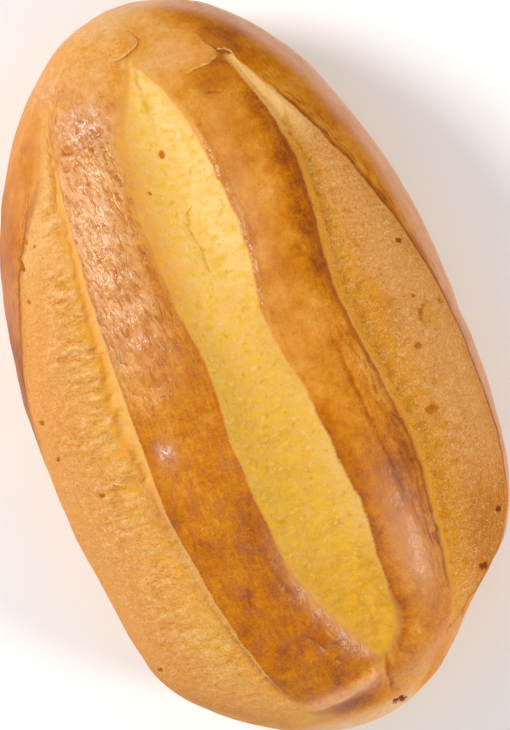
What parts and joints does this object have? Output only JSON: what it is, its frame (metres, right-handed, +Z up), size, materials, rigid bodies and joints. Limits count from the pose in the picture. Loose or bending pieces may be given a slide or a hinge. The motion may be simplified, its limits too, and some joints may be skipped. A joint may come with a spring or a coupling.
{
  "type": "saffron brioche loaf",
  "caption": "Oval egg-washed saffron brioche with a domed top, long scores that opened in the oven, raised strips of glossy brown crust between them and a flat base.",
  "frame": {"origin": "on the surface it rests on, under the middle of the loaf", "axes": "+Z up, +Y along the loaf to its narrower end, +X to the right when seen from above with that end up"},
  "size_m": [0.0953, 0.16, 0.0593],
  "materials": {
    "crust": "baked, egg-washed crust with open yellow crumb in the scores"
  },
  "bodies": {
    "root": {"loaf": "crust"}
  },
  "joints": []
}
